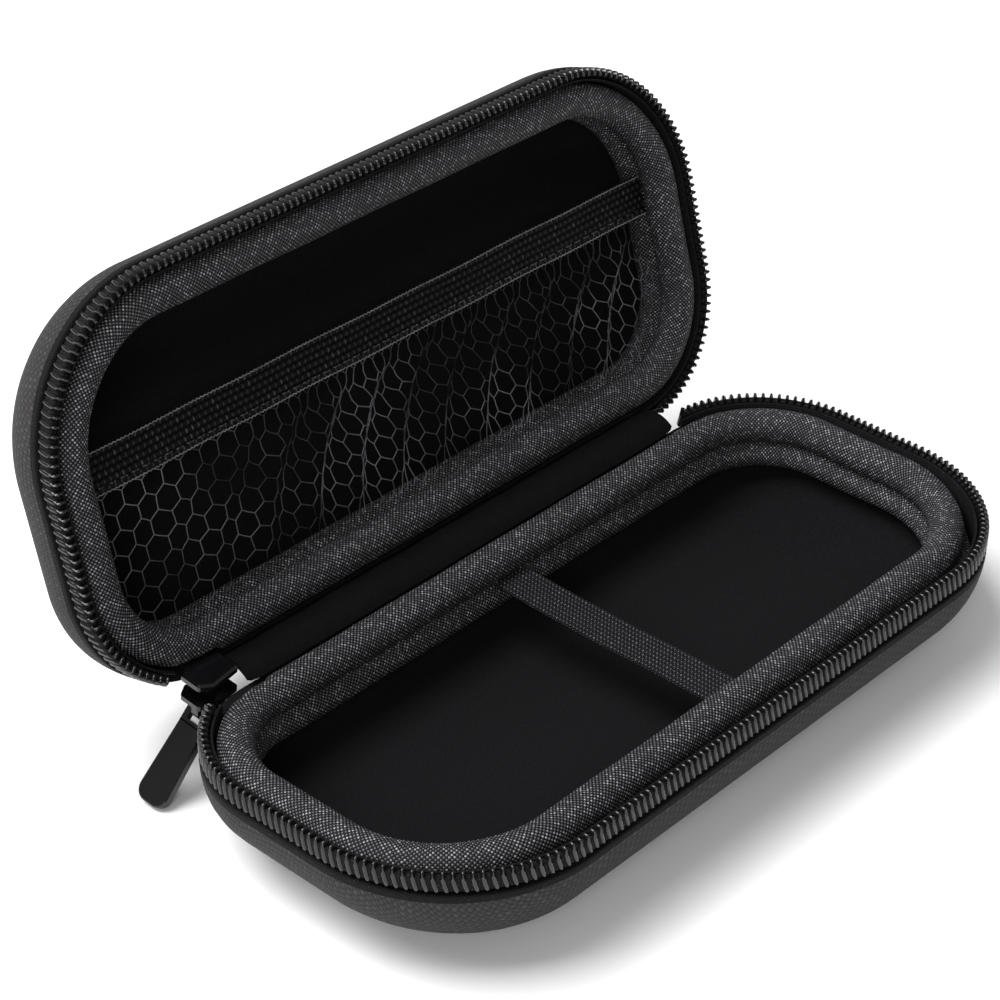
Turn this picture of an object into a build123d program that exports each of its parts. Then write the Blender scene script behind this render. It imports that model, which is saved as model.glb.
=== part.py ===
from build123d import *
from math import asin, cos, radians, sin
import os

os.makedirs("parts", exist_ok=True)

# Outline at the zip line, where the two halves meet
length = 157.8
width = 68.8
front_radius = 28.9
hinge_radius = 21.7

# Moulded halves, from the closing plane to the flat outside
half_depth = 23.5
wall = 1.9
rim_drop = 4.2
rim_height = 0.6
lower_floor = 5.0
lower_hinge_round = 2.5
lid_roof = 2.6
lid_hinge_round = 3.5

# Rounds from the rim to the flat outside, as shares of the front corners' radius
lower_end_share = 0.95
lower_front_share = 0.75
lid_end_share = 0.70
lid_front_share = 0.72

# Lid, as it stands open
open_angle = 106.0
hinge_out = 2.9
hinge_drop = 3.7

# Zip: a tape in each half with a coil along its edge
tape = 0.6
tape_drop = 0.9
tape_height = 6.3
coil_thick = 2.0
coil_top = 1.5
coil_height = 2.2
tooth_pitch = 1.5
tooth_width = 0.5
tooth_over = 0.38
tooth_inset = 0.2

# Slider, parked at the left end of the hinge
slider_length = 9.0
slider_width = 7.4
slider_plate = 1.3
slider_bevel = 0.4
slider_turn = 85.0
slider_out = 1.7
slider_drop = 4.7
post_length = 3.2
post_width = 1.8
bail_length = 6.4
bail_width = 1.6
bail_bar = 1.2
bail_gap = 2.4

# Pull tab
pull_length = 20.5
pull_width = 7.0
pull_neck = 5.8
pull_thick = 1.8
pull_bar = 1.2
pull_loop = 3.8
pull_bevel = 0.25
pull_lean = 41.0

# Binding: a roll beside the zip and a second ridge below it on the inside, drawn with flat sides
roll_radius = 3.3
roll_sides = 12
roll_groove = 2.4
ridge_radius = 2.6
ridge_sides = 10
ridge_step = 1.1
web_height = 3.0

# Fabric strip over the hinge
strip_thick = 1.0
strip_rise = 2.2

# Elastics and pocket
strap_width = 8.0
strap_thick = 0.8
strap_shift = 1.0
hem_width = 8.0
hem_top = 9.0
elastic_tuck = 1.1
rib_count = 8
rib_radius = 0.3
rib_sides = 8
net_cell = 6.6
net_thread = 1.0

# Clearances
seat = 0.1
fit = 0.2
clear = 0.4

# Places worked out from the sizes
closing = half_depth
hinge_y = width / 2 + hinge_out
hinge_z = closing - hinge_drop
rim_out = seat + wall
zip_start = length / 2 - hinge_radius
strip_half = zip_start - 2 * clear
slider_x = strip_half + clear + slider_length / 2
park_x = slider_x + slider_length / 2 + clear
park_angle = asin((park_x - zip_start) / (hinge_radius - tape))
roll_front = tape + roll_groove + roll_radius
roll_side = tape + fit + seat + roll_radius
roll_drop = fit + seat + roll_radius
hollow_in = tape + slider_plate + 2 * clear + fit
ridge_drop = roll_drop + roll_radius + ridge_radius - fit
elastic_step = ridge_step + ridge_radius - elastic_tuck
elastic_front = roll_front + elastic_step
elastic_side = roll_side + elastic_step
elastic_drop = (roll_drop + ridge_drop) / 2
dome_start = tape_drop + tape_height + fit
dome_angles = (0, 18, 36, 54, 72, 90)
lower_rounds = (lower_end_share * front_radius, lower_front_share * front_radius, lower_hinge_round)
lid_rounds = (lid_end_share * front_radius, lid_front_share * front_radius, lid_hinge_round)


def swing(y, z, axis_y, axis_z, angle):
    """Turn a point of the closed case about an axis along X, as the lid opens."""
    c, s = cos(radians(angle)), sin(radians(angle))
    dy, dz = y - axis_y, z - axis_z
    return axis_y + c * dy + s * dz, axis_z - s * dy + c * dz


def opened(angle):
    """Direction that pointed straight up on the closed case."""
    return (0, sin(radians(angle)), cos(radians(angle)))


def outline(ends, front, hinge):
    """Outline of the case, drawn in from the zip line at the ends, the front and the hinge side."""
    with BuildSketch() as shape:
        with Locations((0, (front - hinge) / 2)):
            Rectangle(length - 2 * ends, width - front - hinge)
        fillet(shape.vertices().group_by(Axis.Y)[0], front_radius - (ends + front) / 2)
        fillet(shape.vertices().group_by(Axis.Y)[-1], hinge_radius - (ends + hinge) / 2)
    return shape.sketch


def zip_band(outer, inner, park_side):
    """Band along the zip, open at the hinge and stopped short of the parked slider."""
    with BuildSketch() as band:
        add(outline(-outer, -outer, -outer))
        add(outline(-inner, -inner, -inner), mode=Mode.SUBTRACT)
        with Locations((park_side * (park_x - zip_start) / 2, width / 2)):
            Rectangle(park_x + zip_start, hinge_radius, mode=Mode.SUBTRACT)
    return band.sketch


def half_path(frame, side, front):
    """Line drawn in from the zip line, from the middle of the front to the middle of the hinge side."""
    front_turn = front_radius - (side + front) / 2
    hinge_turn = hinge_radius - side
    front_y = front - width / 2
    with BuildLine(frame) as path:
        near = Line((0, front_y), (length / 2 - side - front_turn, front_y))
        corner = JernArc(near @ 1, near % 1, front_turn, 90)
        end = Line(corner @ 1, (length / 2 - side, width / 2 - side - hinge_turn))
        back = JernArc(end @ 1, end % 1, hinge_turn, 90)
        Line(back @ 1, (0, width / 2 - side))
    return path.wire()


lower_frame = Plane((0, 0, closing), x_dir=(-1, 0, 0), z_dir=(0, 0, -1))
lid_origin = (0, *swing(0, closing, hinge_y, hinge_z, open_angle))
lid_frame = Plane(lid_origin, x_dir=(1, 0, 0), z_dir=opened(open_angle))
flat_path = half_path(Plane.XY, 0, 0)
side_length = flat_path.length - zip_start
park_length = side_length - park_angle * hinge_radius

for half, frame, floor, rounds, roll_near, first_tooth, park_side in (
    ("lower", lower_frame, lower_floor, lower_rounds, roll_front, 0.0, 1),
    ("lid", lid_frame, lid_roof, lid_rounds, roll_side, 0.5, -1),
):
    # Domed shell of moulded foam with fabric on both faces
    with BuildPart() as shell:
        for out, start, skin, mode in (
            (rim_out, rim_drop + rim_height, 0, Mode.ADD),
            (seat, dome_start, floor, Mode.SUBTRACT),
        ):
            with BuildSketch(frame.offset(rim_drop)):
                add(outline(-out, -out, -out))
            extrude(amount=start - rim_drop, mode=mode)
            for angle in dome_angles:
                inset = 1 - cos(radians(angle))
                depth = start + (half_depth - skin - start) * sin(radians(angle))
                with BuildSketch(frame.offset(depth)):
                    add(outline(*(round_off * inset - out for round_off in rounds)))
            loft(ruled=True, mode=mode)
    shell.part.label = f"{half}_shell"
    export_step(shell.part, f"parts/{half}_shell.step")

    # Zip tape, standing inside the rim
    with BuildPart() as zip_tape:
        with BuildSketch(frame.offset(tape_drop)):
            add(zip_band(0, -tape, park_side))
        extrude(amount=tape_height)
    zip_tape.part.label = f"{half}_zip_tape"
    export_step(zip_tape.part, f"parts/{half}_zip_tape.step")

    # Zip coil on the outer face of the tape, its teeth half a pitch apart in the two halves
    count = int(side_length / tooth_pitch)
    places = [(k + first_tooth) * tooth_pitch for k in range(-count - 1, count + 1)]
    teeth = []
    for place in places:
        side = 1 if place >= 0 else -1
        reach = park_length if side == park_side else side_length
        if abs(place) < reach - tooth_pitch:
            point = flat_path.position_at(abs(place), PositionMode.LENGTH)
            turn = flat_path.tangent_angle_at(abs(place), PositionMode.LENGTH)
            out = seat + coil_thick / 2
            x = point.X + out * sin(radians(turn))
            y = point.Y - out * cos(radians(turn))
            teeth.append(Location((side * x, y, 0), (0, 0, side * turn)))
    with BuildPart() as zip_coil:
        with BuildSketch(frame.offset(coil_top)):
            add(zip_band(seat + coil_thick, seat, park_side))
        extrude(amount=coil_height)
        with BuildSketch(frame.offset(-tooth_over)):
            with Locations(*teeth):
                Rectangle(tooth_width, coil_thick - 2 * tooth_inset)
        extrude(amount=tooth_over + coil_top)
    zip_coil.part.label = f"{half}_zip_coil"
    export_step(zip_coil.part, f"parts/{half}_zip_coil.step")

    # Woven binding sewn round the inside of the rim
    with BuildPart() as binding:
        start_point = frame.from_local_coords((0, roll_near - width / 2, 0))
        with BuildSketch(Plane(start_point, x_dir=-frame.y_dir, z_dir=-frame.x_dir)):
            with Locations((0, roll_drop)):
                RegularPolygon(roll_radius, roll_sides)
            with Locations((-ridge_step, ridge_drop)):
                RegularPolygon(ridge_radius, ridge_sides)
        sweep(path=half_path(frame, roll_side, roll_near))
        mirror(about=Plane.YZ)
        with BuildSketch(frame.offset(roll_drop + roll_radius - web_height / 2)):
            add(outline(tape + fit, tape + fit, tape + fit))
            add(outline(roll_side, roll_near, roll_side), mode=Mode.SUBTRACT)
        extrude(amount=web_height)
        # Hollow that the parked slider presses into the roll
        with BuildSketch(frame):
            with Locations((park_side * slider_x, width / 2)):
                Rectangle(slider_length + 3 * clear, hollow_in, align=(Align.CENTER, Align.MAX))
        extrude(amount=slider_width / 2 + 2 * clear, mode=Mode.SUBTRACT)
    binding.part.label = f"{half}_binding"
    export_step(binding.part, f"parts/{half}_binding.step")

# Fabric strip that joins the halves along the hinge, arched up between them when open
foot_y = width / 2 + seat + wall / 2
foot_drop = rim_drop - fit - strip_thick / 2
lower_foot = Vector(foot_y, closing - foot_drop)
lid_foot = Vector(*swing(foot_y, closing + foot_drop, hinge_y, hinge_z, open_angle))
crown = (lower_foot + lid_foot) * 0.5 + Vector(0, strip_rise)
with BuildPart() as hinge_strip:
    with BuildSketch(Plane.YZ):
        with BuildLine():
            ThreePointArc(lower_foot, crown, lid_foot)
        trace(line_width=strip_thick)
    extrude(amount=strip_half, both=True)
hinge_strip.part.label = "hinge_strip"
export_step(hinge_strip.part, "parts/hinge_strip.step")

# Ribbed elastic strap across the lower half
strap_middle = (elastic_front - elastic_side) / 2
strap_half = (width - elastic_front - elastic_side) / 2
with BuildPart() as strap:
    with BuildSketch(Plane.XZ.offset(-strap_middle)):
        with Locations((strap_shift, closing - elastic_drop)):
            Rectangle(strap_width, strap_thick - rib_radius)
        with Locations((strap_shift, closing - elastic_drop + (strap_thick - rib_radius) / 2)):
            with GridLocations(strap_width / rib_count, 0, rib_count, 1):
                RegularPolygon(rib_radius, rib_sides)
    extrude(amount=strap_half, both=True)
strap.part.label = "hold_strap"
export_step(strap.part, "parts/hold_strap.step")

# Ribbed elastic hem along the mouth of the lid's pocket
hem_end = length / 2 - elastic_side
with BuildPart() as hem:
    with BuildSketch(Plane(lid_frame.origin, x_dir=lid_frame.y_dir, z_dir=lid_frame.x_dir)):
        with Locations((hem_width / 2 - hem_top, elastic_drop)):
            Rectangle(hem_width, strap_thick - rib_radius)
        with Locations((hem_width / 2 - hem_top, elastic_drop - (strap_thick - rib_radius) / 2)):
            with GridLocations(hem_width / rib_count, 0, rib_count, 1):
                RegularPolygon(rib_radius, rib_sides)
    extrude(amount=hem_end, both=True)
hem.part.label = "pocket_hem"
export_step(hem.part, "parts/pocket_hem.step")

# Open net of the pocket, from the hem to the binding
net_top = hem_width - hem_top + fit
with BuildPart() as net:
    with BuildSketch(lid_frame.offset(elastic_drop - strap_thick / 2)):
        add(outline(elastic_side, elastic_side, elastic_side))
        with Locations((0, net_top)):
            Rectangle(length, width, align=(Align.CENTER, Align.MAX), mode=Mode.SUBTRACT)
    extrude(amount=strap_thick)
    with BuildSketch(lid_frame.offset(elastic_drop - strap_thick)):
        with Locations((0, (net_top + width / 2 - elastic_side) / 2)):
            with HexLocations(net_cell / 2, int(length / net_cell) + 1, int(width / 2 / net_cell) + 1):
                RegularPolygon((net_cell - net_thread) / 2, 6, major_radius=False)
        net_side = elastic_side + net_thread
        add(outline(net_side, net_side, net_side), mode=Mode.INTERSECT)
        with Locations((0, net_top + net_thread)):
            Rectangle(length, width, align=(Align.CENTER, Align.MAX), mode=Mode.SUBTRACT)
    extrude(amount=2 * strap_thick, mode=Mode.SUBTRACT)
net.part.label = "pocket_net"
export_step(net.part, "parts/pocket_net.step")

# Zip slider, turned with the zip ends as the lid opens
slider_axis = (width / 2 + slider_out, closing - slider_drop)
slider_frame = Plane(
    (-slider_x, *swing(width / 2, closing, *slider_axis, slider_turn)),
    x_dir=(-1, 0, 0),
    z_dir=(0, cos(radians(slider_turn)), -sin(radians(slider_turn))),
)
inner_face = -tape - clear
outer_face = rim_out + clear
bail_top = outer_face + slider_plate + bail_gap + bail_bar
slider_out_dir = Axis(slider_frame.origin, slider_frame.z_dir)
with BuildPart() as slider:
    for level, far_face in ((inner_face - slider_plate, 0), (outer_face, -1)):
        with BuildSketch(slider_frame.offset(level)) as plate:
            with BuildLine():
                Polyline(
                    (-slider_length / 2, -slider_width * 0.36),
                    (slider_length / 4, -slider_width / 2),
                    (slider_length / 2, -slider_width * 0.3),
                    (slider_length / 2, slider_width * 0.3),
                    (slider_length / 4, slider_width / 2),
                    (-slider_length / 2, slider_width * 0.36),
                    close=True,
                )
            make_face()
            fillet(plate.vertices(), slider_length / 12)
        extrude(amount=slider_plate)
        chamfer(slider.faces().sort_by(slider_out_dir)[far_face].edges(), slider_bevel)
    with BuildSketch(slider_frame.offset(inner_face)):
        with Locations((slider_length / 4, 0)):
            with BuildLine():
                Polyline(
                    (-post_length / 2, 0),
                    (0, -post_width / 2),
                    (post_length / 2, 0),
                    (0, post_width / 2),
                    close=True,
                )
            make_face()
    extrude(amount=outer_face - inner_face)
    with BuildSketch(Plane(slider_frame.origin, x_dir=slider_frame.x_dir, z_dir=-slider_frame.y_dir)) as bail:
        with Locations((0, outer_face + slider_plate)):
            Rectangle(bail_length, bail_gap + bail_bar, align=(Align.CENTER, Align.MIN))
        fillet(bail.vertices().group_by(Axis.Y)[-1], bail_bar)
        with Locations((0, outer_face + slider_plate)):
            Rectangle(
                bail_length - 2 * bail_bar, bail_gap, align=(Align.CENTER, Align.MIN), mode=Mode.SUBTRACT
            )
    extrude(amount=bail_width / 2, both=True)
slider.part.label = "zip_slider"
export_step(slider.part, "parts/zip_slider.step")

# Pull tab, its loop caught under the slider's bail
pivot = slider_frame.from_local_coords((0, 0, outer_face + slider_plate + bail_gap / 2))
lean = radians(pull_lean)
pull_dir = slider_frame.z_dir * cos(lean) + slider_frame.x_dir * sin(lean)
pull_frame = Plane(pivot, x_dir=pull_dir, z_dir=pull_dir.cross(slider_frame.y_dir))
with BuildPart() as pull:
    with BuildSketch(pull_frame) as tab:
        with BuildLine():
            Polyline(
                (-pull_bar / 2, -pull_neck / 2),
                (pull_loop + pull_bar, -pull_neck / 2),
                (pull_length, -pull_width / 2),
                (pull_length, pull_width / 2),
                (pull_loop + pull_bar, pull_neck / 2),
                (-pull_bar / 2, pull_neck / 2),
                close=True,
            )
        make_face()
        fillet(tab.vertices().group_by(Axis.X)[0], pull_bar)
        fillet(tab.vertices().group_by(Axis.X)[-1], pull_width / 3)
        with Locations((pull_bar / 2, 0)):
            Rectangle(
                pull_loop, pull_neck - 2 * pull_bar, align=(Align.MIN, Align.CENTER), mode=Mode.SUBTRACT
            )
    extrude(amount=pull_bar / 2, both=True)
    with BuildSketch(pull_frame) as grip:
        add(tab.sketch_local)
        with Locations((pull_loop + pull_bar, 0)):
            Rectangle(pull_length, 2 * pull_width, align=(Align.MAX, Align.CENTER), mode=Mode.SUBTRACT)
    extrude(amount=pull_thick / 2, both=True)
    tab_faces = pull.faces().sort_by(Axis(pull_frame.origin, pull_frame.z_dir))
    chamfer(tab_faces[0].edges() + tab_faces[-1].edges(), pull_bevel)
pull.part.label = "zip_pull"
export_step(pull.part, "parts/zip_pull.step")
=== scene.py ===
from math import asin, cos, hypot, pi, radians, sin, sqrt

import bmesh
import bpy
import numpy as np
from mathutils import Matrix, Vector


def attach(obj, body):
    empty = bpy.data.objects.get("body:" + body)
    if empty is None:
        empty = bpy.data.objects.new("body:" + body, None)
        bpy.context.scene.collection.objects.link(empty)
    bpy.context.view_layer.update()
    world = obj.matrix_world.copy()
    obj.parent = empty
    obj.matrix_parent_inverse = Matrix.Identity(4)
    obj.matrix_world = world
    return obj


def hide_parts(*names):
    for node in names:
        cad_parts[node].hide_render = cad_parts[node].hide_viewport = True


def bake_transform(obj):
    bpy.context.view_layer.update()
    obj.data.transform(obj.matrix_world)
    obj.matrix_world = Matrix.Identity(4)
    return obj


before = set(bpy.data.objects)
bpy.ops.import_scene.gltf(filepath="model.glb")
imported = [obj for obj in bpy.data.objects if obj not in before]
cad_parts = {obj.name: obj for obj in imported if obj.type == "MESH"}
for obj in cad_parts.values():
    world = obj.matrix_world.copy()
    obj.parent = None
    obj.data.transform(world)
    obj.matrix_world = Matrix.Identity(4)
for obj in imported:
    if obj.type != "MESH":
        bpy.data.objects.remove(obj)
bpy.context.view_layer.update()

# Sizes of the solids, in millimetres
MM = 0.001
LENGTH = 157.8
WIDTH = 68.8
FRONT_RADIUS = 28.9
HINGE_RADIUS = 21.7
HALF_DEPTH = 23.5
WALL = 1.9
SEAT = 0.1
RIM_DROP = 4.2
RIM_BEVEL = 0.15
BEVEL_DROP = 4.4
DOME_OUTSIDE = 4.8
DOME_INSIDE = 7.4
SKIN = {"lower": 5.0, "lid": 2.6}
ROUNDS = {
    "lower": (0.95 * FRONT_RADIUS, 0.75 * FRONT_RADIUS, 2.5),
    "lid": (0.70 * FRONT_RADIUS, 0.72 * FRONT_RADIUS, 3.5),
}
OPEN = radians(106.0)
HINGE_Y = WIDTH / 2 + 2.9
HINGE_Z = HALF_DEPTH - 3.7
TAPE = 0.6
TAPE_TOP = 0.9
TAPE_MIDDLE = 4.0
TAPE_FOOT = 7.2
TAPE_BEVEL = (0.15, 0.3)
COIL_THICK = 2.0
COIL_FOOT = 3.7
LOOP_PITCH = 1.5
TOOTH_OVER = 0.38
SLIDER_X = -61.3
PARK_X = 66.2
ROLL_FRONT = {"lower": 6.3, "lid": 4.2}
ROLL_SIDE = 4.2
WEB_IN = 0.8
ELASTIC_FRONT = 8.9
ELASTIC_SIDE = 6.8
ELASTIC_DROP = 6.45
ELASTIC_THICK = 0.8
STRAP_WIDTH = 8.0
STRAP_SHIFT = 1.0
HEM_WIDTH = 8.0
HEM_TOP = -9.0
NET_TOP = -0.8
STRIP_HALF = 56.4
STRIP_THICK = 1.0
STRIP_RISE = 2.2

# Section of the binding: place and radius of the roll and of the ridge, the groove between them,
# and the way back along the web as depth and share of the distance to it
ROLL = (0.0, 3.6, 3.3)
RIDGE = (-1.1, 9.3, 2.6)
GROOVE = (-1.9, 6.8)
WEB = ((10.0, 0.5), (8.8, 0.9), (7.8, 1.0), (6.5, 1.0), (5.95, 0.95), (5.9, 0.8))

# Puckers of the binding round its groove, and the hollow that the parked slider presses into the roll
SEAM_STITCH = 3.2
PUCKER = 0.16
PUCKER_MIDDLE = (-2.0, 6.8)
PUCKER_REACH = (2.2, 2.4)
UNEVEN = 0.08
ROLL_LIMIT = WIDTH / 2 + 0.5
HOLLOW_HALF = 7.6
HOLLOW_SLOPE = 2.4
HOLLOW_FOOT = 5.2
HOLLOW_IN = 3.4

# Points along the front, a front corner, an end, a hinge corner and the hinge side, of half the outline
COLUMNS = (56, 44, 20, 32, 64)
PATH_STEPS = (200, 400, 80, 400, 200)
DOME_TURNS = np.radians([*range(90, 11, -6), 7, 2.2, 0])


def half_outline(ends, front, hinge, counts=COLUMNS):
    """Right half of the outline from the front's middle to the hinge side's: x, y and outward normal."""
    reach = LENGTH / 2 - ends
    low = -WIDTH / 2 + front
    high = WIDTH / 2 - hinge
    near = FRONT_RADIUS - (ends + front) / 2
    far = HINGE_RADIUS - (ends + hinge) / 2
    steps = [np.arange(count) / count for count in counts]
    turn_near = (steps[1] - 1) * pi / 2
    turn_far = steps[3] * pi / 2
    level = [np.zeros(count) for count in counts]
    x = [
        steps[0] * (reach - near),
        reach - near + near * np.cos(turn_near),
        level[2] + reach,
        reach - far + far * np.cos(turn_far),
        (1 - steps[4]) * (reach - far),
        [0.0],
    ]
    y = [
        level[0] + low,
        low + near + near * np.sin(turn_near),
        low + near + steps[2] * (high - far - low - near),
        high - far + far * np.sin(turn_far),
        level[4] + high,
        [high],
    ]
    nx = [level[0], np.cos(turn_near), level[2] + 1, np.cos(turn_far), level[4], [0.0]]
    ny = [level[0] - 1, np.sin(turn_near), level[2], np.sin(turn_far), level[4] + 1, [1.0]]
    return [np.concatenate(part) for part in (x, y, nx, ny)]


def ring(ends, front, hinge):
    """The whole outline, in step with every other one: x, y and outward normal."""
    x, y, nx, ny = half_outline(ends, front, hinge)
    back = slice(-2, 0, -1)
    return [
        np.concatenate([x, -x[back]]),
        np.concatenate([y, y[back]]),
        np.concatenate([nx, -nx[back]]),
        np.concatenate([ny, ny[back]]),
    ]


# The zip line as a path, measured from the middle of the front, right side positive
path_x, path_y, path_nx, path_ny = half_outline(0, 0, 0, PATH_STEPS)
path_s = np.concatenate([[0], np.cumsum(np.hypot(np.diff(path_x), np.diff(path_y)))])
side_length = float(path_s[-PATH_STEPS[-1] - 1])
park_turn = asin((PARK_X - LENGTH / 2 + HINGE_RADIUS) / (HINGE_RADIUS - TAPE))
park_length = side_length - HINGE_RADIUS * park_turn


def along(s):
    """Points and outward normals of the zip line at the distances s."""
    side = np.where(s < 0, -1.0, 1.0)
    reach = np.abs(s)
    x, y, nx, ny = (np.interp(reach, path_s, part) for part in (path_x, path_y, path_nx, path_ny))
    return side * x, y, side * nx, ny


def place(half, x, y, d):
    """Row-frame points, in metres, of points d below the closing plane of one half, with the lid open."""
    x, y, d = np.broadcast_arrays(x, y, d)
    if half == "lower":
        return np.stack([x, y, HALF_DEPTH - d], -1) * MM
    dy = y - HINGE_Y
    dz = HALF_DEPTH + d - HINGE_Z
    swung_y = HINGE_Y + cos(OPEN) * dy + sin(OPEN) * dz
    swung_z = HINGE_Z - sin(OPEN) * dy + cos(OPEN) * dz
    return np.stack([x, swung_y, swung_z], -1) * MM


def ripple(a, b):
    """Slow unevenness of a sewn and pressed piece, between minus one and one."""
    return 0.5 * np.sin(a / 9.7 + 0.6) * np.cos(b / 7.9 + 0.3) + 0.5 * np.sin(a / 4.3 + b / 6.1 + 1.9)


def piece(name, mesh, looks, crease=50):
    """An object of the mesh, its faces turned outwards and smooth up to the crease angle."""
    work = bmesh.new()
    work.from_mesh(mesh)
    bmesh.ops.recalc_face_normals(work, faces=work.faces)
    work.to_mesh(mesh)
    work.free()
    if not mesh.materials:
        for look in looks:
            mesh.materials.append(look)
    mesh.shade_smooth()
    mesh.set_sharp_from_angle(angle=radians(crease))
    made = bpy.data.objects.new(name, mesh)
    bpy.context.scene.collection.objects.link(made)
    return made


def grid(name, points, cut, looks, round_rows=False, round_columns=False, ends=(), slots=None, crease=50):
    """A piece of quads from rows of points, its cut map in millimetres, closed by the faces named in ends."""
    rows, columns = points.shape[:2]
    r, c = np.meshgrid(
        np.arange(rows if round_rows else rows - 1),
        np.arange(columns if round_columns else columns - 1),
        indexing="ij",
    )
    corners = [(r, c), (r, c + 1), (r + 1, c + 1), (r + 1, c)]
    quads = np.stack([(i % rows) * columns + j % columns for i, j in corners], -1).reshape(-1, 4)
    spread = np.stack([cut[i, j] for i, j in corners], -2).reshape(-1, 2)
    closing = [[i * columns + j for i, j in end] for end in ends]
    closing_spread = [cut[i, j] for end in ends for i, j in end]
    mesh = bpy.data.meshes.new(name)
    mesh.from_pydata(points.reshape(-1, 3).tolist(), [], quads.tolist() + closing)
    layer = mesh.uv_layers.new(name="cut")
    flat = np.concatenate([spread, np.reshape(closing_spread, (-1, 2))])
    layer.data.foreach_set("uv", flat.astype(np.float32).ravel())
    if slots is not None:
        per_quad = np.broadcast_to(np.asarray(slots)[:, None], r.shape).ravel()
        end_slots = [slots[0], slots[-1]][: len(ends)]
        mesh.polygons.foreach_set("material_index", np.concatenate([per_quad, end_slots]).astype(np.int32))
    return piece(name, mesh, looks, crease)


def girth(section):
    """Distance round a closed section at each of its points, and once right round."""
    closed = np.vstack([section, section[:1]])
    return np.concatenate([[0], np.cumsum(np.hypot(*np.diff(closed, axis=0).T))])


def band_map(run, way_round):
    """Cut map of a band: the distance along it and the distance round it."""
    return np.stack(np.broadcast_arrays(run[None], way_round[:, None]), -1)


def caps(rows, columns):
    """The two end faces of a band."""
    return [[(i, j) for i in range(rows)] for j in (0, columns - 1)]


# Materials


def paint(code):
    """Linear colour of an sRGB hex value."""
    parts = [int(code[i : i + 2], 16) / 255 for i in (1, 3, 5)]
    return (*(p / 12.92 if p <= 0.04045 else ((p + 0.055) / 1.055) ** 2.4 for p in parts), 1.0)


def node(tree, kind, inputs=None, **settings):
    """Adds a node with its settings, and sets or links its inputs."""
    made = tree.nodes.new(kind)
    for name, value in settings.items():
        setattr(made, name, value)
    for name, value in (inputs or {}).items():
        if isinstance(value, bpy.types.NodeSocket):
            tree.links.new(value, made.inputs[name])
        else:
            made.inputs[name].default_value = value
    return made


def finish(name, **constants):
    """A new material with a Principled shader: the material, its tree and the shader."""
    made = bpy.data.materials.new(name)
    made.use_nodes = True
    shader = made.node_tree.nodes["Principled BSDF"]
    for socket, value in constants.items():
        shader.inputs[socket.replace("_", " ")].default_value = value
    return made, made.node_tree, shader


def weave(tree, warp, weft):
    """Plain weave on the cut map: height, which thread is on top, and a number for each crossing."""
    cut = node(tree, "ShaderNodeUVMap", uv_map="cut").outputs[0]
    pitch = (1 / warp, 1 / weft, 0)
    cells = node(tree, "ShaderNodeVectorMath", {0: cut, 1: pitch}, operation="MULTIPLY").outputs[0]
    corner = node(tree, "ShaderNodeVectorMath", {0: cells}, operation="FLOOR").outputs[0]
    inside = node(tree, "ShaderNodeVectorMath", {0: cells}, operation="FRACTION").outputs[0]
    angle = node(tree, "ShaderNodeVectorMath", {0: inside, 1: (pi, pi, 0)}, operation="MULTIPLY").outputs[0]
    bow = node(tree, "ShaderNodeVectorMath", {0: angle}, operation="SINE").outputs[0]
    across, down, _ = node(tree, "ShaderNodeSeparateXYZ", {0: bow}).outputs
    column, row, _ = node(tree, "ShaderNodeSeparateXYZ", {0: corner}).outputs
    crossing = node(tree, "ShaderNodeMath", {0: column, 1: row}, operation="ADD").outputs[0]
    over = node(tree, "ShaderNodeMath", {0: crossing, 1: 1.0}, operation="PINGPONG").outputs[0]
    raised = []
    for width, length in ((across, down), (down, across)):
        rise = node(tree, "ShaderNodeMath", {0: length, 1: 0.6, 2: 0.4}, operation="MULTIPLY_ADD").outputs[0]
        body = node(tree, "ShaderNodeMath", {0: width, 1: 0.6}, operation="POWER").outputs[0]
        raised.append(node(tree, "ShaderNodeMath", {0: body, 1: rise}, operation="MULTIPLY").outputs[0])
    height = node(tree, "ShaderNodeMix", {0: over, 2: raised[0], 3: raised[1]}, data_type="FLOAT").outputs[0]
    own = node(tree, "ShaderNodeTexWhiteNoise", {"Vector": corner}, noise_dimensions="2D").outputs["Value"]
    return height, over, own


def cloth(name, warp, weft, gap_shade, long_thread_and_highlight, cross_thread, painted_glint, share, sharp, relief, **constants):
    """A woven cloth: pitch of its threads in millimetres, painted shade from the crest of each thread down
    into the gaps, and a share of crossings painted with a glint, a painted highlight.
    """
    made, tree, shader = finish(name, **constants)
    height, over, own = weave(tree, warp, weft)
    # Painted highlight: a random share of the crossings takes the glint colour
    painted_glint_mask = node(tree, "ShaderNodeMapRange", {0: own, 1: 1 - share, 2: 1.0, 3: 0.0, 4: 1.0}).outputs[0]
    lengthwise = {0: painted_glint_mask, 6: paint(long_thread_and_highlight), 7: paint(painted_glint)}
    thread_with_painted_glints = node(tree, "ShaderNodeMix", lengthwise, data_type="RGBA").outputs[2]
    crosswise = {0: over, 6: thread_with_painted_glints, 7: paint(cross_thread)}
    top = node(tree, "ShaderNodeMix", crosswise, data_type="RGBA").outputs[2]
    # Painted shade: each thread darkens from its crest down into the gaps between threads, the more so the
    # sharper
    crest = node(tree, "ShaderNodeMath", {0: height, 1: sharp}, operation="POWER").outputs[0]
    colour = node(tree, "ShaderNodeMix", {0: crest, 6: paint(gap_shade), 7: top}, data_type="RGBA").outputs[2]
    raised = {"Strength": 1.0, "Distance": relief * MM, "Height": height}
    bump = node(tree, "ShaderNodeBump", raised).outputs[0]
    tree.links.new(colour, shader.inputs["Base Color"])
    tree.links.new(bump, shader.inputs["Normal"])
    return made


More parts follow.
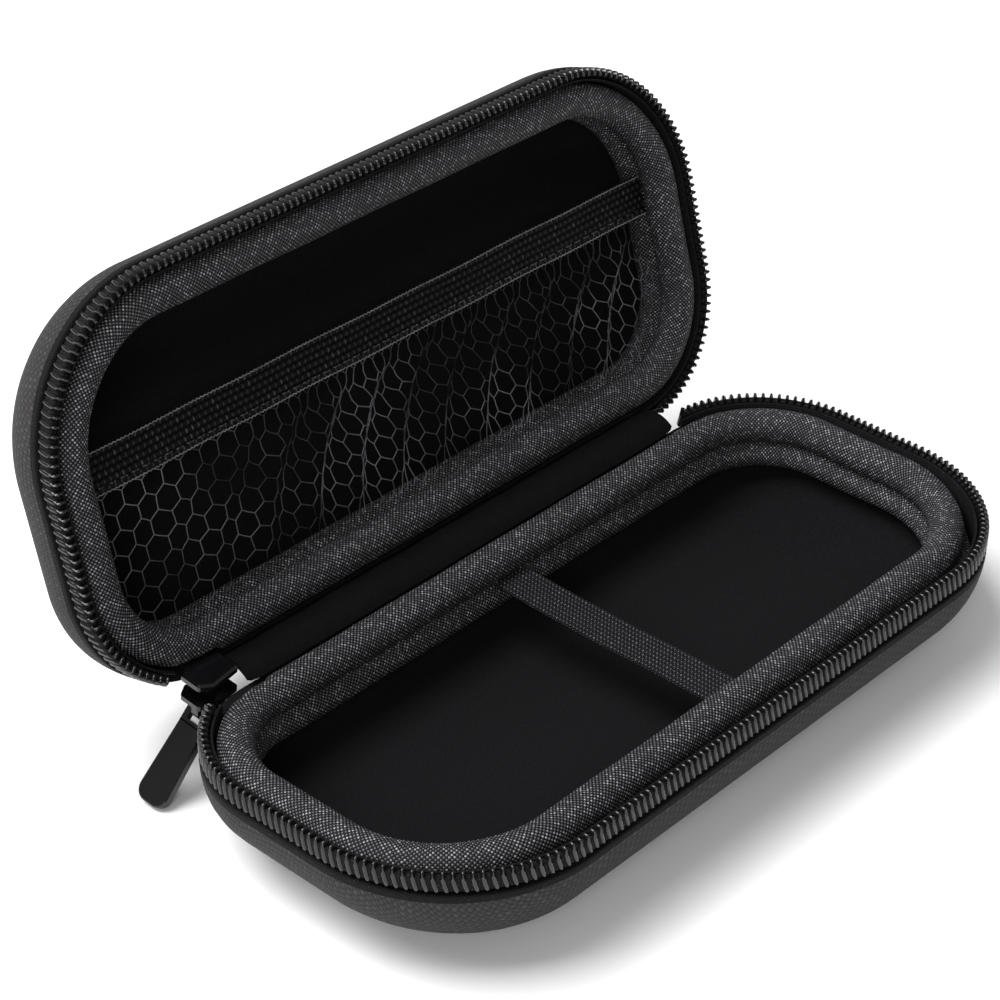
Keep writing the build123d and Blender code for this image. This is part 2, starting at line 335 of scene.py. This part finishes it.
def mottled(name, scale, detail, dark, pale, span=None, strength=0.0, relief=0.0, **constants):
    """A finish that wanders between two tones in a fine noise, raised with it where it has a relief."""
    made, tree, shader = finish(name, **constants)
    where = node(tree, "ShaderNodeTexCoord").outputs["Object"]
    noise = node(tree, "ShaderNodeTexNoise", {"Vector": where, "Scale": scale, "Detail": detail}).outputs[0]
    tone = noise
    if span:
        tone = node(tree, "ShaderNodeMapRange", {0: noise, 1: span[0], 2: span[1]}).outputs[0]
    tones = {0: tone, 6: paint(dark), 7: paint(pale)}
    colour = node(tree, "ShaderNodeMix", tones, data_type="RGBA").outputs[2]
    tree.links.new(colour, shader.inputs["Base Color"])
    if relief:
        raised = {"Strength": strength, "Distance": relief * MM, "Height": noise}
        bump = node(tree, "ShaderNodeBump", raised).outputs[0]
        tree.links.new(bump, shader.inputs["Normal"])
    return made


# Polyester Oxford cloth, pressed on foam: a matt charcoal basket of flat floats about 1.3 by 0.9 mm
shell_cloth = cloth(
    "oxford_polyester", warp=1.3, weft=0.9, share=0.25, sharp=0.8, relief=0.1,
    gap_shade="#131213", long_thread_and_highlight="#3a383a", cross_thread="#333133", painted_glint="#454345",
    Roughness=0.75, Specular_IOR_Level=0.2,
)

# Plain-woven polyester binding: black; the pale dot where each lengthwise thread comes up is a painted
# highlight, brighter still where a painted glint falls
binding_cloth = cloth(
    "binding_polyester", warp=0.4, weft=0.4, share=0.4, sharp=1.7, relief=0.1,
    gap_shade="#020202", long_thread_and_highlight="#66666a", cross_thread="#101012", painted_glint="#b4b4b9",
    Roughness=0.5, Specular_IOR_Level=0.15,
)

# Zip tape, woven finer than the render can show, so drawn at half a millimetre
tape_cloth = cloth(
    "zip_tape_polyester", warp=0.5, weft=0.5, share=0.2, sharp=1.0, relief=0.08,
    gap_shade="#060607", long_thread_and_highlight="#1a1a1c", cross_thread="#151517", painted_glint="#28282b",
    Roughness=0.7, Specular_IOR_Level=0.1,
)

# Narrow woven fabric over the hinge: smooth, nearly black, with a faint grain
hinge_cloth = cloth(
    "hinge_polyester", warp=0.45, weft=0.45, share=0.3, sharp=1.0, relief=0.06,
    gap_shade="#030304", long_thread_and_highlight="#0e0e10", cross_thread="#0a0a0b", painted_glint="#161618",
    Roughness=0.65, Specular_IOR_Level=0.08,
)

# Covered-rubber elastic of the strap: black, a fine pale line along the crest of every cord
strap_elastic = cloth(
    "ribbed_elastic", warp=0.4, weft=0.5, share=0.3, sharp=4.0, relief=0.1,
    gap_shade="#040405", long_thread_and_highlight="#58585c", cross_thread="#222225", painted_glint="#7a7a7f",
    Roughness=0.6, Specular_IOR_Level=0.1,
)

# Wider-set elastic of the pocket's hem: black, with a few dotted lines of pale thread
hem_elastic = cloth(
    "dotted_elastic", warp=0.7, weft=1.3, share=0.3, sharp=4.0, relief=0.1,
    gap_shade="#040405", long_thread_and_highlight="#303033", cross_thread="#101012", painted_glint="#505054",
    Roughness=0.65, Specular_IOR_Level=0.1,
)

# Brushed tricot lining: soft, very dark, a little sheen at a glancing angle and no weave to be seen
lining = mottled(
    "tricot_lining", scale=1600.0, detail=3.0, dark="#0a0a0b", pale="#18181a", strength=0.6, relief=0.2,
    Roughness=0.95, Specular_IOR_Level=0.04, Sheen_Weight=0.02,
)

# Nylon monofilament: black, smooth and round, so every loop of the coil carries one small white light
coil_nylon = mottled(
    "coil_nylon", scale=900.0, detail=2.0, dark="#070708", pale="#161618", Roughness=0.16, IOR=1.53
)

# Die-cast zinc under black lacquer: deep gloss, a trace of orange peel
slider_lacquer = mottled(
    "lacquered_zinc", scale=700.0, detail=2.0, dark="#070708", pale="#101012", strength=0.1, relief=0.05,
    Roughness=0.12,
)

# Knitted polyester net: grey filament that shines along its length, with painted shade and painted sheen in
# broad patches of noise, near black in some and pale in others
net_yarn_shade_and_sheen = mottled(
    "knitted_net_shade_and_sheen", scale=60.0, detail=2.0, dark="#121213", pale="#5a5a5e", span=(0.42, 0.68),
    Roughness=0.4, Specular_IOR_Level=0.3,
)

# Sewing thread: twisted polyester, black with a faint shine
thread = mottled("sewing_thread", scale=1500.0, detail=1.0, dark="#131314", pale="#3d3d40", Roughness=0.45)

# Fuzzy covering yarn on the edges of the hem: mid grey, broken up by its loops
edge_yarn = mottled("covering_yarn", scale=900.0, detail=2.0, dark="#161617", pale="#8a8a8e", Roughness=0.6)


# Geometry Nodes trees for what repeats


def new_tree(name, given, result):
    """An empty Geometry Nodes tree with named inputs and one result: the tree and its input sockets."""
    tree = bpy.data.node_groups.new(name, "GeometryNodeTree")
    for label, kind in given:
        tree.interface.new_socket(label, in_out="INPUT", socket_type=kind)
    tree.interface.new_socket(result, in_out="OUTPUT", socket_type="NodeSocketGeometry")
    return tree, node(tree, "NodeGroupInput").outputs


def deliver(tree, shape, look):
    """Ends a tree: real geometry, painted."""
    solid = node(tree, "GeometryNodeRealizeInstances", {0: shape}).outputs[0]
    painted = node(tree, "GeometryNodeSetMaterial", {"Geometry": solid, "Material": look}).outputs[0]
    node(tree, "NodeGroupOutput", {0: painted})


def repeat_tree():
    """Sets a shape at even steps along a path and paints it."""
    tree, given = new_tree(
        "repeat_along_path",
        (
            ("Path", "NodeSocketGeometry"),
            ("Step", "NodeSocketFloat"),
            ("Shape", "NodeSocketObject"),
            ("Look", "NodeSocketMaterial"),
        ),
        "Row",
    )
    curve = node(tree, "GeometryNodeMeshToCurve", {"Mesh": given["Path"]}).outputs[0]
    even = {"Curve": curve, "Length": given["Step"]}
    spaced = node(tree, "GeometryNodeResampleCurve", even, mode="LENGTH").outputs[0]
    heading = node(tree, "GeometryNodeInputTangent").outputs[0]
    turn = node(tree, "FunctionNodeAlignRotationToVector", {"Vector": heading}, axis="X", pivot_axis="Z")
    shape = node(tree, "GeometryNodeObjectInfo", {"Object": given["Shape"]}).outputs["Geometry"]
    spots = {"Points": spaced, "Instance": shape, "Rotation": turn.outputs[0]}
    row = node(tree, "GeometryNodeInstanceOnPoints", spots).outputs[0]
    deliver(tree, row, given["Look"])
    return tree


def thread_tree():
    """Draws every edge of a mesh as a round thread."""
    tree, given = new_tree(
        "edges_as_threads",
        (("Edges", "NodeSocketGeometry"), ("Radius", "NodeSocketFloat"), ("Look", "NodeSocketMaterial")),
        "Threads",
    )
    curve = node(tree, "GeometryNodeMeshToCurve", {"Mesh": given["Edges"]}).outputs[0]
    around = {"Resolution": 6, "Radius": given["Radius"]}
    section = node(tree, "GeometryNodeCurvePrimitiveCircle", around).outputs[0]
    swept = {"Curve": curve, "Profile Curve": section, "Fill Caps": True}
    tube = node(tree, "GeometryNodeCurveToMesh", swept).outputs[0]
    deliver(tree, tube, given["Look"])
    return tree


def grown(name, mesh, tree, **inputs):
    """The plain mesh that a Geometry Nodes tree makes from a mesh."""
    host = bpy.data.objects.new(name, mesh)
    bpy.context.scene.collection.objects.link(host)
    modifier = host.modifiers.new(tree.name, "NODES")
    modifier.node_group = tree
    keys = {item.name: item.identifier for item in tree.interface.items_tree if item.in_out == "INPUT"}
    for label, value in inputs.items():
        modifier[keys[label]] = value
    made = bpy.data.meshes.new_from_object(host.evaluated_get(bpy.context.evaluated_depsgraph_get()))
    bpy.data.objects.remove(host)
    return made


repeat = repeat_tree()
threads = thread_tree()


def path_mesh(name, points):
    """A mesh of one chain of edges."""
    chain = [tuple(p) for p in points]
    mesh = bpy.data.meshes.new(name)
    mesh.from_pydata(chain, [(i, i + 1) for i in range(len(chain) - 1)], [])
    return mesh


def shape_of_ovals(name, levels, sides):
    """A shape to repeat, of oval sections: centre x, half width, half thickness, z, centre y of each."""
    turn = np.arange(sides) / sides * 2 * pi
    points = [(cx + a * cos(t), cy + b * sin(t), z) for cx, a, b, z, cy in levels for t in turn]
    faces = [
        (i * sides + j, i * sides + (j + 1) % sides, (i + 1) * sides + (j + 1) % sides, (i + 1) * sides + j)
        for i in range(len(levels) - 1)
        for j in range(sides)
    ]
    faces += [tuple(range(sides)), tuple(range((len(levels) - 1) * sides, len(levels) * sides))]
    mesh = bpy.data.meshes.new(name)
    mesh.from_pydata(points, [], faces)
    mesh.shade_smooth()
    made = bpy.data.objects.new(name, mesh)
    bpy.context.scene.collection.objects.link(made)
    return made


def set_in_half(name, half, mesh, looks):
    """A piece from a mesh drawn in one half's own x, y and depth."""
    flat = np.empty(len(mesh.vertices) * 3)
    mesh.vertices.foreach_get("co", flat)
    x, y, d = flat.reshape(-1, 3).T
    mesh.vertices.foreach_set("co", place(half, x, y, d).ravel())
    return piece(name, mesh, looks, crease=70)


# Moulded shells


def dome(rounds, turn, out, start, depth):
    """One level of a dome: its outline and depth."""
    return ring(*(side * (1 - cos(turn)) - out for side in rounds)), start + (depth - start) * sin(turn)


def shrunk(level, share):
    """A level drawn in towards its own middle."""
    (x, y, nx, ny), depth = level
    middle = (y.min() + y.max()) / 2
    return (x * share, middle + (y - middle) * share, nx, ny), depth


def moulded_shell(half):
    """Shell: the outside from the middle of the flat to the rim, then the inside back to its middle."""
    edge = WALL + SEAT
    rounds = ROUNDS[half]
    outside = [dome(rounds, turn, edge, DOME_OUTSIDE, HALF_DEPTH) for turn in DOME_TURNS]
    inside = [dome(rounds, turn, SEAT, DOME_INSIDE, HALF_DEPTH - SKIN[half]) for turn in DOME_TURNS[::-1]]
    bevels = (
        (edge, BEVEL_DROP),
        (edge - RIM_BEVEL, RIM_DROP),
        (SEAT + RIM_BEVEL, RIM_DROP),
        (SEAT, BEVEL_DROP),
    )
    rim = [(ring(-out, -out, -out), depth) for out, depth in bevels]
    flat = [shrunk(outside[0], share) for share in (0.4, 0.8)]
    rows = [*flat, *outside, *rim, *inside, shrunk(inside[-1], 0.7)]
    x = np.stack([outline[0] for outline, depth in rows])
    y = np.stack([outline[1] for outline, depth in rows])
    d = np.repeat(np.array([depth for outline, depth in rows])[:, None], x.shape[1], 1)
    run = np.sqrt(np.diff(x, axis=0) ** 2 + np.diff(y, axis=0) ** 2 + np.diff(d, axis=0) ** 2)
    run = np.concatenate([np.zeros((1, x.shape[1])), np.cumsum(run, axis=0)])

    # The cut map is the flat as it lies, and beyond its edge the cloth unrolled down the dome
    foot_x, foot_y, foot_nx, foot_ny = outside[0][0]
    down = run - run[len(flat)]
    spread = np.stack([foot_x + foot_nx * down, foot_y + foot_ny * down], -1)
    spread[: len(flat)] = np.stack([x, y], -1)[: len(flat)]
    spread = np.concatenate([spread, spread[:, :1]], axis=1)
    in_lining = len(rows) - 1 - len(outside) - len(rim)
    return grid(
        f"{half}_shell_cloth",
        place(half, x, y, d),
        spread,
        [shell_cloth, tape_cloth, lining],
        round_columns=True,
        ends=[[(row, j) for j in range(x.shape[1])] for row in (0, len(rows) - 1)],
        slots=[0] * len(outside) + [1] * len(rim) + [2] * in_lining,
        crease=60,
    )


# Bindings


def arc(circle, first, last, count):
    """Points on a circle between two angles in degrees."""
    turn = np.radians(np.linspace(first, last, count))
    return np.stack([circle[0] + circle[2] * np.cos(turn), circle[1] + circle[2] * np.sin(turn)], -1)


def sewn_binding(half):
    """Binding: a roll beside the zip, a sewn groove and a ridge, puckered by the stitches."""
    web_depth, web_share = np.array(WEB).T
    web = np.stack([0 * web_depth, web_depth], -1)
    section = np.concatenate([arc(ROLL, 35, -235, 18), [GROOVE], arc(RIDGE, -130, -300, 12), web])
    to_web = np.concatenate([np.zeros(len(section) - len(web)), web_share])[:, None]
    px, py, nx, ny = ring(ROLL_SIDE, ROLL_FRONT[half], ROLL_SIDE)
    wx, wy, _, _ = ring(WEB_IN, WEB_IN, WEB_IN)
    drawn = section + to_web * [[ROLL_SIDE - WEB_IN, 0.0]]
    ahead = np.roll(drawn, -1, 0) - np.roll(drawn, 1, 0)
    outward = np.stack([ahead[:, 1], -ahead[:, 0]], -1) / np.linalg.norm(ahead, axis=1)[:, None]
    s = np.concatenate([[0], np.cumsum(np.hypot(np.diff(px), np.diff(py)))])
    v = girth(drawn)

    # Puckers beside the seam, and a slow unevenness everywhere
    near_seam = np.exp(-(((drawn - PUCKER_MIDDLE) / PUCKER_REACH) ** 2).sum(axis=1))
    pucker = PUCKER * near_seam[:, None] * np.cos(2 * pi * s / SEAM_STITCH)[None]
    pucker = pucker + UNEVEN * ripple(s[None], v[:-1, None] * 3)
    n = section[:, :1] + outward[:, :1] * pucker
    d = section[:, 1:] + outward[:, 1:] * pucker
    x = px + (wx - px) * to_web + nx * n
    y = py + (wy - py) * to_web + ny * n

    # The parked slider presses the roll in
    pressed = np.clip((HOLLOW_HALF - np.abs(x - SLIDER_X)) / HOLLOW_SLOPE, 0, 1)
    y = np.where(d < HOLLOW_FOOT, np.minimum(y, ROLL_LIMIT - HOLLOW_IN * pressed), y)
    perimeter = s[-1] + hypot(px[0] - px[-1], py[0] - py[-1])
    return grid(
        f"{half}_binding_cloth",
        place(half, x, y, d),
        band_map(np.append(s, perimeter), v),
        [binding_cloth],
        round_rows=True,
        round_columns=True,
        crease=80,
    )


# Zip


def band(name, half, s, section, look):
    """A band of one section, as distance outwards and depth, along the zip line of one half."""
    px, py, nx, ny = along(s)
    return grid(
        name,
        place(half, px + nx * section[:, :1], py + ny * section[:, :1], section[:, 1:]),
        band_map(s, girth(section)),
        [look],
        round_rows=True,
        ends=caps(len(section), len(s)),
    )


def zip_tape(half):
    """Tape: a thin band that stands inside the rim, from the parked slider to the far end of the hinge."""
    thin, deep = TAPE_BEVEL
    section = np.array([
        (0, TAPE_TOP + deep),
        (-thin, TAPE_TOP),
        (thin - TAPE, TAPE_TOP),
        (-TAPE, TAPE_TOP + deep),
        (-TAPE, TAPE_MIDDLE),
        (-TAPE, TAPE_FOOT - deep),
        (thin - TAPE, TAPE_FOOT),
        (-thin, TAPE_FOOT),
        (0, TAPE_FOOT - deep),
        (0, TAPE_MIDDLE),
    ])
    return band(f"{half}_tape_cloth", half, np.linspace(-park_length, side_length, 320), section, tape_cloth)


def coil_run(shift):
    """Distances along the zip line that a coil covers, its loops shifted by a share of the pitch."""
    start = -LOOP_PITCH * (int(park_length / LOOP_PITCH) - 1 - shift)
    stop = LOOP_PITCH * (int(side_length / LOOP_PITCH) - 1 - shift)
    return np.arange(start, stop + 0.01, LOOP_PITCH / 3)


def zip_coil(half, s):
    """Coil: one loop at every step along the tape."""
    px, py, _, _ = along(s)
    path = path_mesh("coil_path", zip(px, py, 0 * s))
    loops = grown("coil_path", path, repeat, Step=LOOP_PITCH, Shape=loop_shape, Look=coil_nylon)
    return set_in_half(f"{half}_coil_loops", half, loops, [coil_nylon])


def coil_cord(half, s):
    """Cord inside the coil, which fills the gaps between the loops."""
    section = np.array([
        (0.3, 0.9),
        (0.7, 0.6),
        (1.4, 0.6),
        (1.75, 0.9),
        (1.75, 3.2),
        (1.4, 3.5),
        (0.7, 3.5),
        (0.3, 3.2),
    ])
    return band(f"{half}_coil_cord", half, s, section, tape_cloth)


# Coil loop: a round head that reaches past the closing plane, and an outer leg that leans along the zip
loop_middle = -(SEAT + COIL_THICK / 2)
loop_shape = shape_of_ovals(
    "coil_loop",
    [
        (0.0, 0.10, 0.25, -TOOTH_OVER, loop_middle),
        (0.0, 0.26, 0.62, -0.26, loop_middle),
        (0.0, 0.35, 0.85, 0.0, loop_middle),
        (0.0, 0.36, 0.92, 0.4, loop_middle),
        (0.02, 0.52, 0.96, 0.75, loop_middle),
        (0.08, 0.58, 0.92, 1.15, loop_middle - 0.04),
        (0.2, 0.54, 0.72, 1.7, loop_middle - 0.24),
        (0.4, 0.52, 0.58, 2.4, loop_middle - 0.38),
        (0.6, 0.5, 0.56, 3.1, loop_middle - 0.4),
        (0.7, 0.34, 0.4, 3.55, loop_middle - 0.36),
        (0.75, 0.12, 0.15, COIL_FOOT, loop_middle - 0.36),
    ],
    8,
)

# Both halves, their coils half a pitch apart
for half, shift in (("lower", 0.0), ("lid", 0.5)):
    shell = moulded_shell(half)
    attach(shell, half)
    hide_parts(f"{half}_shell")

    binding = sewn_binding(half)
    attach(binding, half)
    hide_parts(f"{half}_binding")

    tape = zip_tape(half)
    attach(tape, half)
    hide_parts(f"{half}_zip_tape")

    coil = zip_coil(half, coil_run(shift))
    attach(coil, half)
    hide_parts(f"{half}_zip_coil")

    cord = coil_cord(half, coil_run(shift))
    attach(cord, half)

# Hinge strip: one arched band of cloth between the halves, its ends rounded off
ARCH_STEPS = 16
STRIP_COLUMNS = 140
STRIP_TAPER = 4.0
END_SHARE = 0.85
CRINKLE = 0.12
foot_y = WIDTH / 2 + SEAT + WALL / 2
foot_drop = RIM_DROP - 0.2 - STRIP_THICK / 2
lower_foot = place("lower", 0.0, foot_y, foot_drop)[1:] / MM
lid_foot = place("lid", 0.0, foot_y, foot_drop)[1:] / MM
chord = lid_foot - lower_foot
half_chord = np.linalg.norm(chord) / 2
bow_radius = (half_chord**2 + STRIP_RISE**2) / (2 * STRIP_RISE)
bow_half = asin(half_chord / bow_radius)
across = chord / (2 * half_chord)
upward = np.array([-across[1], across[0]])
bow_centre = (lower_foot + lid_foot) / 2 - upward * (bow_radius - STRIP_RISE)
turn = np.linspace(-bow_half, bow_half, ARCH_STEPS)
turn = np.concatenate([turn, turn[::-1]])
level = np.repeat([STRIP_THICK / 2, -STRIP_THICK / 2], ARCH_STEPS)
x = np.linspace(-STRIP_HALF, STRIP_HALF, STRIP_COLUMNS)
taper = np.clip((STRIP_HALF - np.abs(x)) / STRIP_TAPER, 0, 1)
taper = END_SHARE + (1 - END_SHARE) * np.sqrt(1 - (1 - taper) ** 2)
crinkle = CRINKLE * ripple(x[None] * 2.0, turn[:, None] * 14)
reach = bow_radius + level[:, None] + crinkle
swung = turn[:, None] * taper
y = bow_centre[0] + reach * (np.sin(swung) * across[0] + np.cos(swung) * upward[0])
z = bow_centre[1] + reach * (np.sin(swung) * across[1] + np.cos(swung) * upward[1])
middle_section = np.stack([y, z])[:, :, STRIP_COLUMNS // 2]
v = np.concatenate([[0], np.cumsum(np.hypot(*np.diff(middle_section, axis=1)))])
v = np.append(v, v[-1] + STRIP_THICK)
strip = grid(
    "hinge_strip_cloth",
    np.stack([np.broadcast_to(x, y.shape), y, z], -1) * MM,
    band_map(x, v),
    [hinge_cloth],
    round_rows=True,
    ends=caps(len(turn), len(x)),
)
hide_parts("hinge_strip")
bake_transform(strip)


# Elastics


def lean(run):
    """How far an elastic wanders sideways along its run."""
    return 0.15 * ripple(run, 5 + 0 * run)


def elastic(name, half, long_x, span, middle, width, sag, cords, look):
    """Ribbed elastic band between the bindings of one half: cords along it, the faces a little uneven."""
    ribs = np.linspace(0, 1, 8 * cords + 1)
    cord = np.abs(np.sin(ribs * pi * cords)) ** 0.7
    over = -ELASTIC_THICK / 2 + 0.3 * (1 - cord)
    under = np.full(len(ribs), ELASTIC_THICK / 2 - 0.1)
    offset = np.concatenate([ribs, ribs[::-1]]) * width - width / 2
    depth = np.concatenate([over, under])
    run = np.linspace(*span, int(span[1] - span[0]))
    share = np.linspace(-1, 1, len(run))
    hang = sag * (1 - share**2) + 0.12 * ripple(run * 1.4, 0 * run)
    sideways = middle + offset[:, None] + lean(run)[None]
    depths = ELASTIC_DROP + depth[:, None] + hang[None]
    v = np.append(np.concatenate([ribs, 2 + ribs]) * width, 3.1 * width)
    points = place(half, run, sideways, depths) if long_x else place(half, sideways, run, depths)
    made = grid(
        name,
        points,
        band_map(run, v),
        [look],
        round_rows=True,
        ends=caps(len(offset), len(run)),
        crease=80,
    )
    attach(made, half)
    return made


STRAP_SAG = 0.4
HEM_SAG = 0.3
strap_span = (ELASTIC_FRONT - WIDTH / 2, WIDTH / 2 - ELASTIC_SIDE)
strap = elastic(
    "hold_strap_elastic", "lower", False, strap_span, STRAP_SHIFT, STRAP_WIDTH, STRAP_SAG, 8, strap_elastic
)
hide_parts("hold_strap")
hem_end = LENGTH / 2 - ELASTIC_SIDE
hem_face = ELASTIC_DROP - ELASTIC_THICK / 2
hem_span = (-hem_end, hem_end)
hem_middle = HEM_TOP + HEM_WIDTH / 2
hem = elastic("pocket_hem_elastic", "lid", True, hem_span, hem_middle, HEM_WIDTH, HEM_SAG, 6, hem_elastic)
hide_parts("pocket_hem")

# Row of stitches that holds the net to the hem
STITCH_STEP = 2.5
SEAM_Y = -2.3
SEAM_SUNK = 0.25
stitch_shape = shape_of_ovals(
    "stitch",
    [
        (-0.8, 0.1, 0.1, 0.1, 0),
        (-0.4, 0.1, 0.2, -0.12, 0),
        (0.4, 0.1, 0.2, -0.12, 0),
        (0.8, 0.1, 0.1, 0.1, 0),
    ],
    6,
)
run = np.arange(-hem_end + 2, hem_end - 2, STITCH_STEP / 2)
seam = path_mesh("hem_seam", zip(run, 0 * run + SEAM_Y, 0 * run + hem_face + SEAM_SUNK))
row = grown("hem_seam", seam, repeat, Step=STITCH_STEP, Shape=stitch_shape, Look=thread)
stitches = set_in_half("hem_stitches", "lid", row, [thread])
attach(stitches, "lid")

# Looped yarn along both edges of the hem
YARN_STEP = 0.45
YARN_WAVE = 0.12
YARN_RADIUS = 0.13
YARN_INSET = 0.2
yarn_lines = {"hem_mouth_yarn": HEM_TOP + YARN_INSET, "hem_foot_yarn": HEM_TOP + HEM_WIDTH - YARN_INSET}
for name, level in yarn_lines.items():
    run = np.arange(-hem_end, hem_end, YARN_STEP)
    wave = np.where(np.arange(len(run)) % 2, YARN_WAVE, -YARN_WAVE)
    sagging = HEM_SAG * (1 - (run / hem_end) ** 2)
    edge_path = path_mesh(name, zip(run, level + wave + lean(run), hem_face + sagging))
    drawn = grown(name, edge_path, threads, Radius=YARN_RADIUS, Look=edge_yarn)
    yarn = set_in_half(name, "lid", drawn, [edge_yarn])
    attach(yarn, "lid")

# Net: hexagons of thread, open at the left and gathered into slack folds towards the right
CELL = 4.4
NET_MIDDLE = 12.5
NET_THREAD = 0.11
FOLD_STEP = 9.5
FOLD_DEPTH = 1.5
FOLD_SLIDE = 1.3
side = CELL / sqrt(3)
corners = {}
edges = set()
for i in range(-20, 40):
    for j in range(-8, 9):
        cx = i * CELL + (j % 2) * CELL / 2
        cy = NET_MIDDLE + j * 1.5 * side
        around = [(cx + side * sin(k * pi / 3), cy + side * cos(k * pi / 3)) for k in range(6)]
        keys = [(round(px * 20), round(py * 20)) for px, py in around]
        corners.update(zip(keys, around))
        edges.update(tuple(sorted((keys[k], keys[k - 1]))) for k in range(6))

# Gathering: the cells keep their width at the left end and lose nearly half of it further right
cloth_x = np.linspace(-90, 170, 521)
gathered = -75 + np.cumsum(0.5 / (1 + 0.9 / (1 + np.exp(-(cloth_x + 42) / 6))))
for key, (px, py) in corners.items():
    corners[key] = (float(np.interp(px, cloth_x, gathered)), py)
floor_y = WIDTH / 2 - ELASTIC_SIDE
corner_round = HINGE_RADIUS - ELASTIC_SIDE


def inside_pocket(x, y):
    """True where the net lies: between the hem and the binding, its lower corners rounded."""
    over_x = max(abs(x) - (hem_end - corner_round), 0)
    over_y = max(y - (floor_y - corner_round), 0)
    return NET_TOP - 1 < y and hypot(over_x, over_y) < corner_round


# Every edge inside the pocket, with a point in its middle so that it can follow the folds
points, chains = [], []
numbers = {}
for a, b in sorted(edges):
    if all(inside_pocket(*corners[k]) for k in (a, b)):
        middle = tuple((p + q) / 2 for p, q in zip(corners[a], corners[b]))
        for key, spot in zip((a, (a, b), b), (corners[a], middle, corners[b])):
            if key not in numbers:
                numbers[key] = len(points)
                points.append(spot)
        chains += [(numbers[a], numbers[(a, b)]), (numbers[(a, b)], numbers[b])]

# Folds: flat where the net is sewn down, slack in the middle and at the right
net_x, net_y = np.array(points).T
held = np.clip((net_y - NET_TOP) / 6, 0, 1) * np.clip((floor_y - net_y) / 6, 0, 1)
held *= np.clip((hem_end - np.abs(net_x)) / 12, 0, 1)
slack = held * (0.2 + 0.8 * np.clip((net_x + 45) / 25, 0, 1))
fold = (net_x * 0.85 + net_y * 0.55 + 2.0 * np.sin(net_y / 7)) * 2 * pi / FOLD_STEP
depth = ELASTIC_DROP + slack * (FOLD_DEPTH * np.sin(fold) + 0.8 * np.sin(net_x / 13 + 1))
slide = slack * FOLD_SLIDE * np.cos(fold)
net_edges = bpy.data.meshes.new("net_edges")
net_edges.from_pydata(np.stack([net_x + slide, net_y, depth], -1).tolist(), chains, [])
drawn = grown("net_edges", net_edges, threads, Radius=NET_THREAD, Look=net_yarn_shade_and_sheen)
net = set_in_half("pocket_net_threads", "lid", drawn, [net_yarn_shade_and_sheen])
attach(net, "lid")
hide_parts("pocket_net")

# Slider and pull keep their solids, lacquered
for name in ("zip_slider", "zip_pull"):
    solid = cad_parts[name]
    solid.data.materials.clear()
    solid.data.materials.append(slider_lacquer)

for shape in (loop_shape, stitch_shape):
    bpy.data.objects.remove(shape)

# Pale floor, white to the camera, with the shadow of the case
FLOOR_HALF = 4
floor_corners = [(-FLOOR_HALF, -FLOOR_HALF, 0), (FLOOR_HALF, -FLOOR_HALF, 0), (FLOOR_HALF, FLOOR_HALF, 0),
                 (-FLOOR_HALF, FLOOR_HALF, 0)]
floor_mesh = bpy.data.meshes.new("floor")
floor_mesh.from_pydata(floor_corners, [], [(0, 1, 2, 3)])
floor_mesh.materials.append(finish("white_paper", Roughness=0.9, Base_Color=paint("#f4f4f4"))[0])
floor = bpy.data.objects.new("floor", floor_mesh)
bpy.context.scene.collection.objects.link(floor)

# Soft studio light: a wide panel above and behind, a smaller one in front on the left, and a pale room
ROOM_LIGHT = 0.32
AIM = (0, 0, 0.03)
world = bpy.data.worlds.new("studio")
bpy.context.scene.world = world
world.use_nodes = True
room = world.node_tree.nodes["Background"]
room.inputs["Color"].default_value = (1, 1, 1, 1)
room.inputs["Strength"].default_value = ROOM_LIGHT


def panel(name, spot, size, power):
    """A square area light that faces the case."""
    light = bpy.data.lights.new(name, "AREA")
    light.size = size
    light.energy = power
    made = bpy.data.objects.new(name, light)
    made.location = spot
    made.rotation_euler = (Vector(AIM) - Vector(spot)).to_track_quat("-Z", "Y").to_euler()
    bpy.context.scene.collection.objects.link(made)


panel("panel_above", (-0.4, 0.4, 1.1), size=0.9, power=24)
panel("panel_front", (-0.75, -0.55, 0.6), size=0.35, power=4)

# Camera of the photograph
right = Vector((0.6767, -0.7362, 0.0114)).normalized()
forward = Vector((0.6196, 0.5611, -0.5489)).normalized()
up = right.cross(forward)
facing = Matrix((right, up, -forward)).transposed().to_4x4()
camera = bpy.data.objects.new("camera", bpy.data.cameras.new("camera"))
camera.data.lens = 103.53
camera.data.sensor_width = 36.0
camera.data.clip_start = 0.01
camera.matrix_world = Matrix.Translation((-0.31992, -0.2601, 0.31674)) @ facing
bpy.context.scene.collection.objects.link(camera)
bpy.context.scene.camera = camera
bpy.context.scene.view_settings.view_transform = "Standard"
